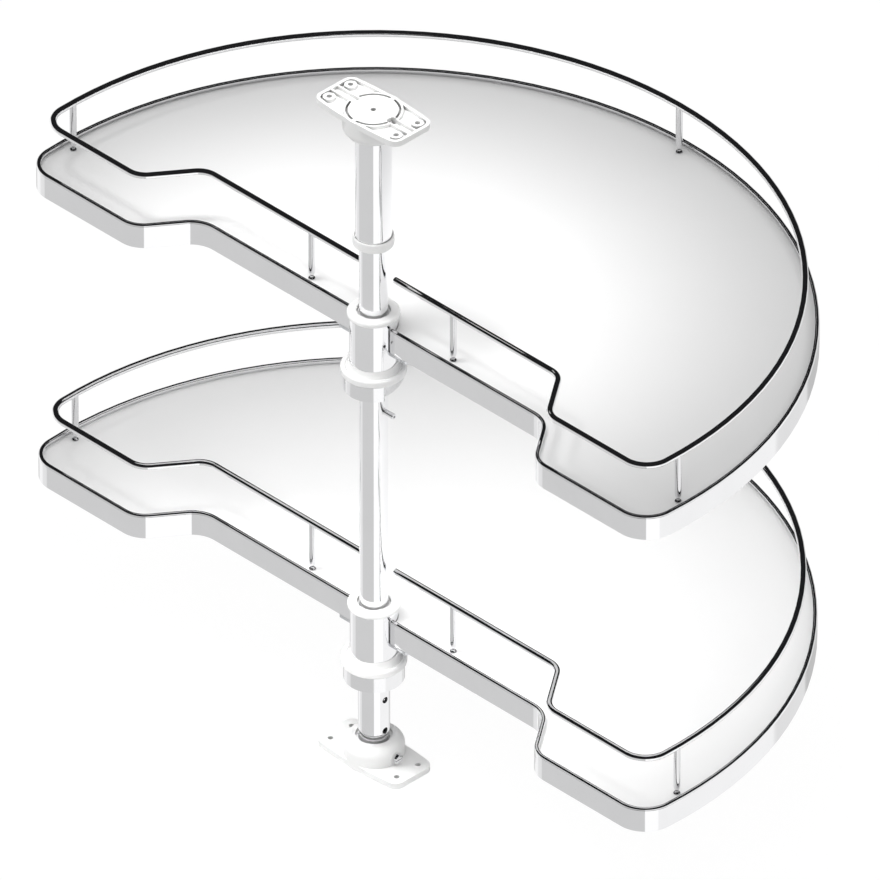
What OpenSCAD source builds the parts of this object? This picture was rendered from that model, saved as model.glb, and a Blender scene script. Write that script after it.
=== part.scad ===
// Two-tier half-moon carousel for a corner base unit. Both trays turn on one
// telescopic pole that stands between a floor bracket and a ceiling bracket.
// Origin: pole axis on the floor bracket's mounting face. +Z up, -Y the front.

/* [Fitting heights] */
// Height from the floor face to the ceiling face as fitted
install_h = 675; // [650:1:700]
// Height of the lower tray's rim above the floor face
lower_rim_h = 154.5; // [145:0.5:180]
// Distance from the ceiling face down to the upper rim
upper_rim_drop = 216.5; // [210:0.5:250]

/* [Tray outline] */
// Radius of the round back, from the pole axis to the rim's outer face
tray_r = 380; // [340:5:420]
// Distance from the pole axis forward to the front of the wings
wing_front = 50; // [44:1:58]
// Distance from the pole axis forward to the front of the recess
recess_front = 2; // [1:0.5:4]
// Sideways distance from the axis to the sharp corner of the recess
recess_corner_x = 208; // [180:1:230]
// Slope between recess and wing, against the front
slope_angle = 54; // [45:1:65]
// Bend radius of the rim at both ends of the slope
slope_bend_r = 27; // [18:1:30]
// Bend radius of the rim at the wing tips
corner_r = 30; // [24:1:45]

/* [Rim band and panel] */
// Height of the rim band
band_h = 24; // [20:1:30]
// Thickness of the rim band
band_t = 2; // [1.5:0.5:3]
// Diameter of the rolled bead along the band's top
bead_d = 4; // [3.5:0.5:5]
// Depth of the panel's top below the rim
lip_h = 6; // [5.5:0.5:9]
// Sideways distance from the axis to each end of the band
band_end_x = 22; // [22:0.5:26]

/* [Gallery rail] */
// Diameter of the rail wire
rail_d = 6; // [5:0.5:7]
// Height of the rail's centre line above the rim
rail_h = 42.5; // [34:0.5:46]
// Distance of the rail's centre line inward from the band's face
rail_inset = 12.5; // [11:0.5:16]
// Bend radius of the rail at both ends of the slope
rail_bend_r = 20; // [15:1:24]
// Bend radius of the rail at the wing tips
rail_corner_r = 24; // [20:1:32]
// Sideways distance from the axis to each end of the rail
rail_end_x = 15.5; // [15.5:0.5:22]
// Sideways distance from the axis to the two front posts
front_post_x = 86; // [60:1:150]
// Diameter of a post
post_d = 6; // [5:0.5:7]
// Diameter of a post's pin in the panel
post_pin_d = 3; // [2.5:0.5:4]
// Depth of a post's pin in the panel
post_pin_l = 10; // [6:1:12]

/* [Hub] */
// Outer diameter of the hub sleeve
sleeve_d = 41.5; // [40:0.5:43]
// Wall of the hub sleeve
sleeve_wall = 2; // [1.5:0.5:2.5]
// Height of the hub sleeve above the rim
sleeve_up = 5; // [3:0.5:7]
// Depth of the sleeve's visible lower edge below the rim
sleeve_down = 41.5; // [38:0.5:46]
// Diameter of the white flange on top of the hub
flange_d = 46; // [45:0.5:50]
// Thickness of that flange
flange_t = 5; // [4:0.5:7]
// Diameter of the dish under the hub
dish_d = 57.2; // [55:0.2:60]
// Height of the dish from its bottom to its inner lip
dish_h = 11.7; // [11:0.1:14]
// Diameter of the bearing cup under the dish
cup_d = 53; // [51:0.5:54]
// Height of the bearing cup
cup_h = 14.6; // [13:0.1:17]
// Height of the open running gap between dish and cup
cup_gap = 1.2; // [0.8:0.1:2]
// Wall of the plastic journal on the pole
journal_wall = 1.7; // [1.5:0.1:2]

/* [Pole] */
// Diameter of the inner pole
pole_d = 25; // [24:0.5:26]
// Wall of the inner pole
pole_wall = 1.5; // [1:0.25:2]
// Diameter of the outer tube at the top
tube_d = 32; // [31.5:0.5:33]
// Wall of the outer tube
tube_wall = 1.5; // [1:0.25:1.75]
// Distance from the ceiling face down to the top of the inner pole
pole_headroom = 50; // [40:1:60]
// Diameter of the joining sleeve at the foot of the pole
joiner_d = 27.5; // [27.5:0.5:29]
// Height of the joining sleeve's lower end above the floor face
joiner_bottom = 30.5; // [28:0.5:32]
// Height of the lower set screw above the joining sleeve's lower end
joiner_screw_up = 3.7; // [3.5:0.1:5]
// Place of the upper set screw, as a share of the sleeve's length
joiner_screw_share = 0.6525; // [0.55:0.0025:0.75]
// Height of the stop screw below the upper rim
stop_screw_drop = 90; // [88:1:110]
// Height of the lock ring's underside above the upper rim
ring_up = 79; // [72:1:90]
// Height of the lock ring
ring_h = 8.8; // [7:0.2:12]
// Diameter of the lock ring
ring_d = 36; // [35.5:0.5:40]

/* [Brackets] */
// Length of a bracket plate
plate_w = 100; // [96:1:120]
// Depth of a bracket plate across its middle
plate_depth = 51.6; // [51:0.2:60]
// Bulge of each long side of a plate
plate_bulge = 2.4; // [1:0.1:3]
// Corner radius of a plate
plate_corner_r = 9; // [6:0.5:12]
// Thickness of a plate
plate_t = 5.5; // [5:0.5:8]
// Distance from a plate's end to its fixing holes
hole_end = 9.5; // [8:0.5:11]
// Distance from the middle of a plate's long side to its fixing holes
hole_side = 13.05; // [11:0.05:14]
// Diameter of a fixing hole
hole_d = 5; // [4:0.25:6]
// Diameter of a bracket's round boss
boss_d = 53.2; // [53:0.2:55]
// Height of a bracket with its boss
boss_h = 24.5; // [23:0.5:30]

/* [Hidden] */
$fn = 96;

// Clearances and overruns
cut = 1;          // overrun of every cut past its face
press_gap = 0.1;  // round pieces that are pressed or glued together
slide_gap = 0.1;  // pieces that slide on each other, on the radius
turn_gap = 0.1;   // bush and journal that turn on each other, on the radius
run_gap = 0.4;    // pieces that turn past each other without touching
seat_gap = 0.3;   // a turning piece above its seat
band_gap = 0.15;  // the panel's edge inside the band
bead_step = 0.2;  // the bead's face behind the band's face
butt_gap = 0.2;   // wire ends that face each other inside a ferrule
ferrule_l = 2;
ferrule_proud = 0.15; // a ferrule above its wire
bend_proud = 0.01; // a bend above the straight edges it joins

// Heights of the two rims
upper_rim_h = install_h - upper_rim_drop;

// Panel and what stands on it
panel_t = band_h - lip_h;
panel_inset = band_t + band_gap;
notch_gap = 0.4;
post_collar_d = 8.5;
post_collar_t = 1.4;
post_taper_h = 5;
post_neck_h = 1.5;
wing_post_x = tray_r - rail_inset;

// Support plate under the panel and its screws
support_t = 3;
support_front_x = 40;
support_wide_x = 78;
support_wide_y = 58;
support_depth = 116;
support_back_x = 44;
support_hole_d = 4.4;
support_screw_d = 4;
support_screw_l = 14;
support_head_d = 8;
support_head_h = 2.4;
support_socket_share = 0.4;
support_screws = [
    [-support_wide_x + support_head_d, support_wide_y],
    [support_wide_x - support_head_d, support_wide_y],
    [-support_back_x + support_head_d, support_depth - support_head_d],
    [support_back_x - support_head_d, support_depth - support_head_d],
    [0, support_wide_y]
];

// Hub, measured from the rim with up as plus
sleeve_r = sleeve_d / 2;
sleeve_in_r = sleeve_r - sleeve_wall;
journal_r = pole_d / 2 + press_gap + journal_wall;
bush_r = journal_r + turn_gap;
flange_round = 1.6;
flange_spigot = 14;
journal_sunk = 2.4;
dish_r = dish_d / 2;
dish_top = -sleeve_down;
dish_bottom = dish_top - dish_h;
sleeve_seat = 2.5;
dish_spigot = 12;
dish_lip_t = 0.9;
dish_edge_h = 2.6;
dish_edge_bevel = 1;
dish_round_w = 2.3;
dish_round_h = 3.6;
dish_valley_drop = 7;
dish_cove_h = 3.6;
dish_step = 1;
cup_r = cup_d / 2;
cup_top = dish_bottom - cup_gap;
cup_bottom = cup_top - cup_h;
cup_wall = 2.5;
washer_t = 1.7;
washer_r = cup_r - cup_wall - run_gap;
cup_floor = dish_bottom - dish_step - seat_gap - washer_t;
cup_screw_d = 4;
cup_screw_drop = 2.4;
cup_relief_y = -10.6;
cup_relief_z = 6.6;
cup_relief_slope = 15.6;
cup_relief_top = 3.9;
side_hole_d = 2.6;
side_hole_angle = -18;
side_hole_drop = 16;

// Pole parts
pole_top = install_h - pole_headroom;
joiner_top = lower_rim_h + cup_bottom - seat_gap;
joiner_screws_z = [
    joiner_bottom + joiner_screw_up,
    joiner_bottom + joiner_screw_share * (joiner_top - joiner_bottom)
];
joiner_in_r = pole_d / 2 + press_gap;
joiner_bevel = 0.6;
foot_spigot_l = 14;
foot_taper_bottom = 18;
foot_d = 22;
foot_bottom = 7.5;
pole_end_gap = 1;
pole_bottom = joiner_bottom + foot_spigot_l + pole_end_gap;
set_screw_d = 6;
set_screw_l = 5;
set_screw_sunk = 0.6;
hex_share = 0.52;
socket_depth_share = 0.5;
guide_l = 15;
ring_seat = 3;
ring_spigot_l = 25;
ring_screw_d = 3;
ring_screw_sunk = 0.2;
stop_screw_d = 5;
stop_screw_out = 12.5;
stop_screw_in = 3;

// Brackets
boss_r = boss_d / 2;
socket_r = tube_d / 2 + press_gap;
neck_wall = 0.5;
boss_round = boss_r - socket_r - neck_wall;
socket_floor = 6;
plate_wall = 3;
pocket_depth = 3.2;
disc_r = 21.6;
groove_w = 2.3;
groove_depth = 4.2;
groove_bridge = 4;
disc_wall = 1.8;
rib_t = 1.7;
rib_pitch = 8;
channel_x = 19;
nut_lead_l = 11;
hole_boss_d = 11;
centre_hole_d = 5;
clamp_z = 12;
clamp_d = 5;
clamp_head_d = 9;
clamp_head_h = 4;
clamp_pad_d = 12;
clamp_slot_w = 1.2;
clamp_slot_h = 1.6;
nut_w = 8;
nut_t = 4;
nut_x = 20;
reducer_top = 22;
reducer_mouth_r = joiner_d / 2 + slide_gap;
reducer_in_r = foot_d / 2 + slide_gap;
reducer_taper_h = 5;

// Outline of a tray drawn in by inset, anticlockwise from the front gap:
// [centre x, centre y, radius, first angle, last angle]. A falling angle is a
// bend whose centre lies outside the tray.
function outline(inset, upper_r, lower_r, tip_r) =
    let (
        half = tan(slope_angle / 2),
        recess_y = inset - recess_front,
        wing_y = inset - wing_front,
        upper_x = recess_corner_x + inset * half,
        lower_x = upper_x + (recess_y - wing_y) / tan(slope_angle),
        tip_y = wing_y + tip_r,
        tip_x = sqrt(pow(tray_r - inset - tip_r, 2) - pow(tip_y, 2)),
        tip_a = atan2(tip_y, tip_x),
        side = [
            [upper_x - upper_r * half, recess_y - upper_r, upper_r, 90, 90 - slope_angle],
            [lower_x + lower_r * half, wing_y + lower_r, lower_r, -90 - slope_angle, -90],
            [tip_x, tip_y, tip_r, -90, tip_a]
        ]
    )
    concat(side, [[0, 0, tray_r - inset, tip_a, 180 - tip_a]], mirrored(side));

function mirrored(arcs) =
    [for (i = [len(arcs) - 1:-1:0])
        [-arcs[i][0], arcs[i][1], arcs[i][2], 180 - arcs[i][4], 180 - arcs[i][3]]];

function band_outline(inset) =
    outline(inset, slope_bend_r + inset, slope_bend_r - inset, corner_r - inset);

function point_on(arc, angle) =
    [arc[0] + arc[2] * cos(angle), arc[1] + arc[2] * sin(angle)];

function corners(arcs) =
    [for (arc = arcs) each [point_on(arc, arc[3]), point_on(arc, arc[4])]];

// Round wire along an outline. Its straight and bent lengths butt together
// inside a short ferrule at each end of a bend.
module wire_along(arcs, first, last, d) {
    stops = concat([first], corners(arcs), [last]);
    for (i = [1:2:len(stops) - 1]) {
        step = stops[i] - stops[i - 1];
        apart = norm(step) > butt_gap;
        turn = apart ? atan2(step[1], step[0]) : atan2(stops[i][1], stops[i][0]) + 90;
        if (apart) translate(stops[i - 1]) rotate(turn)
            bar_x(d, butt_gap / 2, norm(step) - butt_gap / 2);
        if (apart && i > 1) ferrule(stops[i - 1], turn, d);
        if (i < len(stops) - 1) ferrule(stops[i], turn, d);
    }
    for (arc = arcs) {
        trim = asin(butt_gap / 2 / arc[2]);
        translate([arc[0], arc[1]]) rotate(min(arc[3], arc[4]) + trim)
            rotate_extrude(angle = abs(arc[4] - arc[3]) - 2 * trim)
                translate([arc[2], 0]) circle(d = d, $fn = 48);
    }
}

module ferrule(place, turn, d) {
    translate(place) rotate(turn)
        bar_x(d + 2 * ferrule_proud, -ferrule_l / 2, ferrule_l / 2);
}

// Area of a tray drawn in by inset. Straight edges run to the centre of each
// bend, and round discs a little proud of them make the bends.
module filled(inset) {
    arcs = band_outline(inset);
    tip = [arcs[2][0], arcs[2][1]];
    right = [
        [0, inset - recess_front], each [for (arc = [arcs[0], arcs[1]])
            each [point_on(arc, arc[3]), [arc[0], arc[1]], point_on(arc, arc[4])]],
        point_on(arcs[2], arcs[2][3]), tip, 2 * tip, [2 * tip[0], 2 * tray_r]
    ];
    difference() {
        union() {
            intersection() {
                circle(r = tray_r - inset, $fn = 360);
                polygon(concat(right, [for (i = [len(right) - 1:-1:1]) [-right[i][0], right[i][1]]]));
            }
            for (i = [1, 2, 4, 5]) bend_disc(arcs[i]);
        }
        for (i = [0, 6]) bend_disc(arcs[i]);
    }
}

module bend_disc(arc) {
    translate([arc[0], arc[1]]) circle(r = arc[2] + bend_proud, $fn = 180);
}

// Ring section with both outer edges rounded
module rounded_ring(inner, outer, low, high, edge) {
    translate([inner, low]) square([outer - edge - inner, high - low]);
    translate([inner, low + edge]) square([outer - inner, high - low - 2 * edge]);
    for (z = [low + edge, high - edge]) translate([outer - edge, z]) circle(r = edge, $fn = 48);
}

module tube(inner, outer, low, high) {
    translate([0, 0, low]) difference() {
        cylinder(r = outer, h = high - low);
        translate([0, 0, -cut]) cylinder(r = inner, h = high - low + 2 * cut);
    }
}

// Round bar along +X between two distances from the axis
module bar_x(d, from, to) {
    translate([from, 0, 0]) rotate([0, 90, 0]) cylinder(d = d, h = to - from, $fn = 48);
}

// Headless screw along +X with a hexagon socket in its outer end
module grub_screw(d, from, to) {
    difference() {
        bar_x(d, from, to);
        translate([to - d * socket_depth_share, 0, 0]) rotate([0, 90, 0])
            cylinder(d = d * hex_share, h = d * socket_depth_share + cut, $fn = 6);
    }
}

// Bracket plate drawn in by inset
module plate_outline(inset) {
    long = plate_w / 2 - inset;
    round = max(plate_corner_r - inset, plate_wall / 2);
    middle = plate_depth / 2 - inset;
    end = middle - plate_bulge;
    straight = long - round;
    sweep_r = (pow(straight, 2) + pow(plate_bulge, 2)) / (2 * plate_bulge);
    square([2 * long, 2 * (end - round)], center = true);
    square([2 * straight, 2 * end], center = true);
    for (x = [-1, 1], y = [-1, 1]) translate([x * straight, y * (end - round)]) circle(r = round);
    for (side = [-1, 1]) intersection() {
        translate([0, side * (middle - sweep_r)]) circle(r = sweep_r, $fn = 360);
        translate([-straight, side > 0 ? 0 : -middle]) square([2 * straight, middle]);
    }
}

module at_fixing_holes() {
    for (x = [-1, 1], y = [-1, 1])
        translate([x * (plate_w / 2 - hole_end), y * (plate_depth / 2 - hole_side)]) children();
}

// Pockets between the ribs of the mounting face, and the channel between the
// two ribs, which runs on into the disc
module plate_pockets() {
    difference() {
        plate_outline(plate_wall);
        circle(r = disc_r + groove_w + disc_wall);
        at_fixing_holes() circle(d = hole_boss_d);
        for (y = [-1, 1]) translate([-plate_w / 2, y * rib_pitch / 2 - rib_t / 2])
            square([plate_w, rib_t]);
    }
    for (turn = [0, 180]) rotate(turn) translate([channel_x, -(rib_pitch - rib_t) / 2])
        square([plate_w / 2 - plate_wall - channel_x, rib_pitch - rib_t]);
}

// Groove round the centre disc, in four arcs
module disc_groove() {
    difference() {
        circle(r = disc_r + groove_w);
        circle(r = disc_r);
        square([plate_w, rib_pitch + rib_t], center = true);
        square([groove_bridge, plate_w], center = true);
    }
}

// One bracket with its mounting face at z = 0 and its boss upward. The same
// moulding serves the floor and, turned over, the ceiling.
module bracket() {
    difference() {
        union() {
            linear_extrude(plate_t) plate_outline(0);
            rotate_extrude() {
                square([boss_r, boss_h - boss_round]);
                square([boss_r - boss_round, boss_h]);
                translate([boss_r - boss_round, boss_h - boss_round]) circle(r = boss_round);
            }
            translate([0, 0, clamp_z]) bar_x(clamp_pad_d, socket_r + neck_wall, boss_r);
        }
        translate([0, 0, socket_floor]) cylinder(r = socket_r, h = boss_h);
        translate([0, 0, -cut]) cylinder(d = centre_hole_d, h = socket_floor + 2 * cut);
        translate([0, 0, -cut]) linear_extrude(pocket_depth + cut) plate_pockets();
        translate([0, 0, -cut]) linear_extrude(groove_depth + cut) disc_groove();
        translate([channel_x, -(rib_pitch - rib_t) / 2, -cut])
            cube([nut_lead_l, rib_pitch - rib_t, groove_depth + cut]);
        translate([0, 0, -cut]) linear_extrude(plate_t + 2 * cut)
            at_fixing_holes() circle(d = hole_d);
        translate([0, 0, clamp_z]) bar_x(clamp_d + 2 * press_gap, 0, boss_r + cut);
        translate([nut_x - slide_gap, -nut_w / 2 - slide_gap, -cut])
            cube([nut_t + 2 * slide_gap, nut_w + 2 * slide_gap, clamp_z + nut_w / 2 + cut + slide_gap]);
    }
}

// Clamp screw of a bracket, from the clamped tube to its head outside
module clamp_screw(tip_r) {
    translate([0, 0, clamp_z]) difference() {
        union() {
            bar_x(clamp_d, tip_r, boss_r + clamp_head_h / 2);
            translate([boss_r + seat_gap, 0, 0]) rotate([0, 90, 0])
                cylinder(d = clamp_head_d, h = clamp_head_h, $fn = 6);
        }
        translate([boss_r + seat_gap + clamp_head_h - clamp_slot_h, -clamp_head_d / 2, -clamp_slot_w / 2])
            cube([clamp_slot_h + cut, clamp_head_d, clamp_slot_w]);
    }
}

module clamp_nut() {
    translate([nut_x, 0, clamp_z]) difference() {
        translate([0, -nut_w / 2, -nut_w / 2]) cube([nut_t, nut_w, nut_w]);
        bar_x(clamp_d + press_gap, -cut, nut_t + cut);
    }
}

module at_ceiling() {
    translate([0, 0, install_h]) rotate([180, 0, 0]) children();
}

module base_bracket() {
    color("white") bracket();
}

module base_reducer() {
    mouth = reducer_top - reducer_taper_h;
    color("white") difference() {
        rotate_extrude() polygon([
            [reducer_in_r, socket_floor], [socket_r - press_gap, socket_floor],
            [socket_r - press_gap, reducer_top], [reducer_mouth_r, reducer_top],
            [reducer_in_r, mouth]
        ]);
        translate([0, 0, clamp_z]) bar_x(clamp_d + 2 * press_gap, 0, socket_r + cut);
    }
}

module base_clamp_screw() {
    color("silver") clamp_screw(foot_d / 2 + press_gap);
}

module base_clamp_nut() {
    color("silver") clamp_nut();
}

module pole_foot() {
    spigot_r = joiner_in_r - press_gap;
    color("silver") difference() {
        rotate_extrude() polygon([
            [0, foot_bottom], [foot_d / 2, foot_bottom], [foot_d / 2, foot_taper_bottom],
            [joiner_d / 2, joiner_bottom - press_gap], [spigot_r, joiner_bottom - press_gap],
            [spigot_r, joiner_bottom + foot_spigot_l], [0, joiner_bottom + foot_spigot_l]
        ]);
        translate([0, 0, joiner_screws_z[0]]) bar_x(set_screw_d + press_gap, 0, joiner_d);
    }
}

module joining_sleeve() {
    outer = joiner_d / 2;
    color("silver") difference() {
        rotate_extrude() polygon([
            [joiner_in_r, joiner_bottom], [outer - joiner_bevel, joiner_bottom],
            [outer, joiner_bottom + joiner_bevel], [outer, joiner_top], [joiner_in_r, joiner_top]
        ]);
        for (z = joiner_screws_z)
            translate([0, 0, z]) bar_x(set_screw_d + press_gap, 0, joiner_d);
    }
}

module joining_set_screws() {
    face = joiner_d / 2 - set_screw_sunk;
    color("dimgray") for (z = joiner_screws_z)
        translate([0, 0, z]) grub_screw(set_screw_d, face - set_screw_l, face);
}

module inner_pole() {
    color("silver") difference() {
        tube(pole_d / 2 - pole_wall, pole_d / 2, pole_bottom, pole_top);
        translate([0, 0, joiner_screws_z[1]]) bar_x(set_screw_d + press_gap, 0, pole_d);
        translate([0, 0, upper_rim_h - stop_screw_drop])
            bar_x(stop_screw_d + press_gap, 0, pole_d);
    }
}

module pole_top_guide() {
    color("white") tube(pole_d / 2 + press_gap, tube_d / 2 - tube_wall - slide_gap,
        pole_top - guide_l, pole_top);
}

module pole_stop_screw() {
    color("silver") translate([0, 0, upper_rim_h - stop_screw_drop])
        grub_screw(stop_screw_d, pole_d / 2 - stop_screw_in, pole_d / 2 + stop_screw_out);
}

module bearing_cup(rim) {
    translate([0, 0, rim]) difference() {
        rotate_extrude() polygon([
            [pole_d / 2 + press_gap, cup_bottom], [cup_r, cup_bottom], [cup_r, cup_top],
            [cup_r - cup_wall, cup_top], [cup_r - cup_wall, cup_floor],
            [pole_d / 2 + press_gap, cup_floor]
        ]);
        translate([0, 0, cup_floor - cup_screw_drop])
            rotate(180) bar_x(cup_screw_d + press_gap, 0, cup_r + cut);
    }
}

module cup_screw(rim) {
    color("silver") translate([0, 0, rim + cup_floor - cup_screw_drop])
        rotate(180) grub_screw(cup_screw_d, pole_d / 2 + press_gap, cup_r - set_screw_sunk);
}

module thrust_washer(rim) {
    color("ivory") translate([0, 0, rim])
        tube(journal_r + run_gap, washer_r, cup_floor, cup_floor + washer_t);
}

module journal(rim) {
    color("white") translate([0, 0, rim]) tube(pole_d / 2 + press_gap, journal_r,
        cup_floor, sleeve_up + flange_t - journal_sunk);
}

module lower_bearing_cup() {
    color("silver") bearing_cup(lower_rim_h);
}

module lower_cup_screw() {
    cup_screw(lower_rim_h);
}

module lower_thrust_washer() {
    thrust_washer(lower_rim_h);
}

module lower_journal() {
    journal(lower_rim_h);
}

// The upper cup is cut away behind a slanted edge
module upper_bearing_cup() {
    color("silver") difference() {
        bearing_cup(upper_rim_h);
        intersection() {
            translate([-cup_d, cup_relief_y, upper_rim_h + cup_bottom - cut])
                cube([2 * cup_d, cup_d, cup_h + cut - cup_relief_top]);
            translate([0, 0, upper_rim_h + cup_top - cup_relief_z]) rotate([cup_relief_slope, 0, 0])
                translate([-cup_d, -cup_d, -2 * cup_d]) cube(2 * cup_d);
        }
    }
}

module upper_cup_screw() {
    cup_screw(upper_rim_h);
}

module upper_thrust_washer() {
    thrust_washer(upper_rim_h);
}

module upper_journal() {
    journal(upper_rim_h);
}

module outer_tube() {
    color("silver") difference() {
        tube(tube_d / 2 - tube_wall, tube_d / 2,
            upper_rim_h + ring_up + ring_seat, install_h - socket_floor - press_gap);
        at_ring_screw() bar_x(ring_screw_d + press_gap, 0, ring_d);
    }
}

// The lock ring's screw enters from the back, through ring and tube
module at_ring_screw() {
    translate([0, 0, upper_rim_h + ring_up + (ring_seat + ring_h) / 2]) rotate(90) children();
}

module lock_ring() {
    low = upper_rim_h + ring_up;
    inner = pole_d / 2 + slide_gap;
    bore = tube_d / 2 - tube_wall - press_gap;
    color("white") difference() {
        rotate_extrude() polygon([
            [inner, low], [ring_d / 2, low], [ring_d / 2, low + ring_h],
            [tube_d / 2 + press_gap, low + ring_h], [tube_d / 2 + press_gap, low + ring_seat],
            [bore, low + ring_seat], [bore, low + ring_seat + ring_spigot_l],
            [inner, low + ring_seat + ring_spigot_l]
        ]);
        at_ring_screw() bar_x(ring_screw_d + press_gap, 0, ring_d);
    }
}

module lock_ring_screw() {
    color("silver") at_ring_screw()
        grub_screw(ring_screw_d, pole_d / 2 + slide_gap, ring_d / 2 - ring_screw_sunk);
}

module top_bracket() {
    color("white") at_ceiling() bracket();
}

module top_clamp_screw() {
    color("silver") at_ceiling() clamp_screw(socket_r);
}

module top_clamp_nut() {
    color("silver") at_ceiling() clamp_nut();
}

module hub_sleeve(rim) {
    translate([0, 0, rim]) tube(sleeve_in_r, sleeve_r, dish_top - sleeve_seat, sleeve_up);
}

module hub_flange(rim) {
    color("white") translate([0, 0, rim]) rotate_extrude() {
        rounded_ring(bush_r, flange_d / 2, sleeve_up, sleeve_up + flange_t, flange_round);
        translate([bush_r, sleeve_up - flange_spigot])
            square([sleeve_in_r - press_gap - bush_r, flange_spigot + flange_round]);
    }
}

// Flared dish pressed into the sleeve's lower end: cove, hollow and outer edge
module hub_dish(rim) {
    lip_out = sleeve_r + press_gap + dish_lip_t;
    boss = cup_r - cup_wall - run_gap;
    edge_top = dish_bottom + dish_edge_h;
    crown_r = dish_r - dish_round_w;
    crown_z = edge_top + dish_round_h;
    valley_r = (lip_out + crown_r) / 2;
    valley_z = dish_top - dish_valley_drop;
    crown = [for (a = [15:15:75]) [crown_r + dish_round_w * cos(a), edge_top + dish_round_h * sin(a)]];
    color("white") translate([0, 0, rim]) rotate_extrude() polygon(concat(
        [[bush_r, dish_bottom - dish_step], [boss, dish_bottom - dish_step],
         [boss, dish_bottom], [dish_r - dish_edge_bevel, dish_bottom],
         [dish_r, dish_bottom + dish_edge_bevel], [dish_r, edge_top]],
        crown,
        [[crown_r, crown_z], [valley_r, valley_z], [lip_out, dish_top - dish_cove_h],
         [sleeve_r + press_gap, dish_top],
         [sleeve_r + press_gap, dish_top - sleeve_seat - press_gap],
         [sleeve_in_r - press_gap, dish_top - sleeve_seat - press_gap],
         [sleeve_in_r - press_gap, dish_top + dish_spigot], [bush_r, dish_top + dish_spigot]]
    ));
}

// Steel plate that carries the panel, welded to the back of the sleeve
module support_plate(rim) {
    front = -recess_front;
    color("silver") translate([0, 0, rim - band_h - support_t]) difference() {
        linear_extrude(support_t) difference() {
            polygon([
                [-support_front_x, front], [support_front_x, front],
                [support_wide_x, support_wide_y], [support_back_x, support_depth],
                [-support_back_x, support_depth], [-support_wide_x, support_wide_y]
            ]);
            circle(r = sleeve_r + press_gap);
        }
        for (place = support_screws) translate([place[0], place[1], -cut])
            cylinder(d = support_hole_d, h = support_t + 2 * cut, $fn = 32);
    }
}

module panel_screws(rim) {
    low = rim - band_h - support_t;
    color("silver") for (place = support_screws) translate([place[0], place[1], low]) difference() {
        union() {
            cylinder(d = support_screw_d, h = support_t + support_screw_l, $fn = 32);
            translate([0, 0, -support_head_h]) cylinder(d = support_head_d, h = support_head_h, $fn = 32);
        }
        translate([0, 0, -support_head_h - cut])
            cylinder(d = support_head_d * support_socket_share, h = support_head_h / 2 + cut, $fn = 6);
    }
}

module at_posts() {
    front_y = rail_inset - recess_front;
    for (place = [[-wing_post_x, 0], [-front_post_x, front_y], [front_post_x, front_y],
                  [wing_post_x, 0], [0, wing_post_x]])
        translate(place) children();
}

module panel(rim) {
    color("white") translate([0, 0, rim - band_h]) difference() {
        linear_extrude(panel_t) difference() {
            filled(panel_inset);
            circle(r = sleeve_r + notch_gap);
        }
        at_posts() translate([0, 0, panel_t - post_pin_l - press_gap])
            cylinder(d = post_pin_d + 2 * press_gap, h = post_pin_l + cut, $fn = 32);
        for (place = support_screws) translate([place[0], place[1], -cut])
            cylinder(d = support_screw_d + 2 * press_gap, h = support_screw_l + press_gap + cut, $fn = 32);
    }
}

// Flat strip with a bead rolled inward along its top edge
module rim_band(rim) {
    bead_in = bead_d / 2 + bead_step;
    color("silver") translate([0, 0, rim]) {
        translate([0, 0, -band_h]) linear_extrude(band_h - bead_d / 2) difference() {
            filled(0);
            filled(band_t);
            translate([-band_end_x, -recess_front - cut]) square([2 * band_end_x, band_t + 2 * cut]);
        }
        translate([0, 0, -bead_d / 2]) wire_along(band_outline(bead_in),
            [band_end_x, bead_in - recess_front], [-band_end_x, bead_in - recess_front], bead_d);
    }
}

module rail(rim) {
    front_y = rail_inset - recess_front;
    color("silver") translate([0, 0, rim + rail_h])
        wire_along(outline(rail_inset, rail_bend_r, rail_bend_r, rail_corner_r),
            [rail_end_x, front_y], [-rail_end_x, front_y], rail_d);
}

// Post from its pin in the panel to a saddle under the rail, which runs at
// the given angle across it
module post(rim, x, y, angle) {
    top = rail_h + lip_h;
    neck = post_pin_d / 2;
    taper = post_collar_t + post_neck_h;
    color("silver") translate([x, y, rim - lip_h]) rotate(angle) difference() {
        rotate_extrude() polygon([
            [0, -post_pin_l], [neck, -post_pin_l], [neck, 0], [post_collar_d / 2, 0],
            [neck, post_collar_t], [neck, taper], [post_d / 2, taper + post_taper_h],
            [post_d / 2, top], [0, top]
        ]);
        translate([-post_d, 0, top]) rotate([0, 90, 0])
            cylinder(d = rail_d + 2 * press_gap, h = 2 * post_d, $fn = 48);
    }
}

// A front post: side is -1 for the left and 1 for the right
module front_post(rim, side) {
    post(rim, side * front_post_x, rail_inset - recess_front, 0);
}

module wing_post(rim, side) {
    post(rim, side * wing_post_x, 0, 90);
}

// The upper sleeve has a small hole in its side
module upper_hub_sleeve() {
    color("silver") difference() {
        hub_sleeve(upper_rim_h);
        translate([0, 0, upper_rim_h - side_hole_drop]) rotate(side_hole_angle)
            bar_x(side_hole_d, 0, sleeve_d);
    }
}

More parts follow.
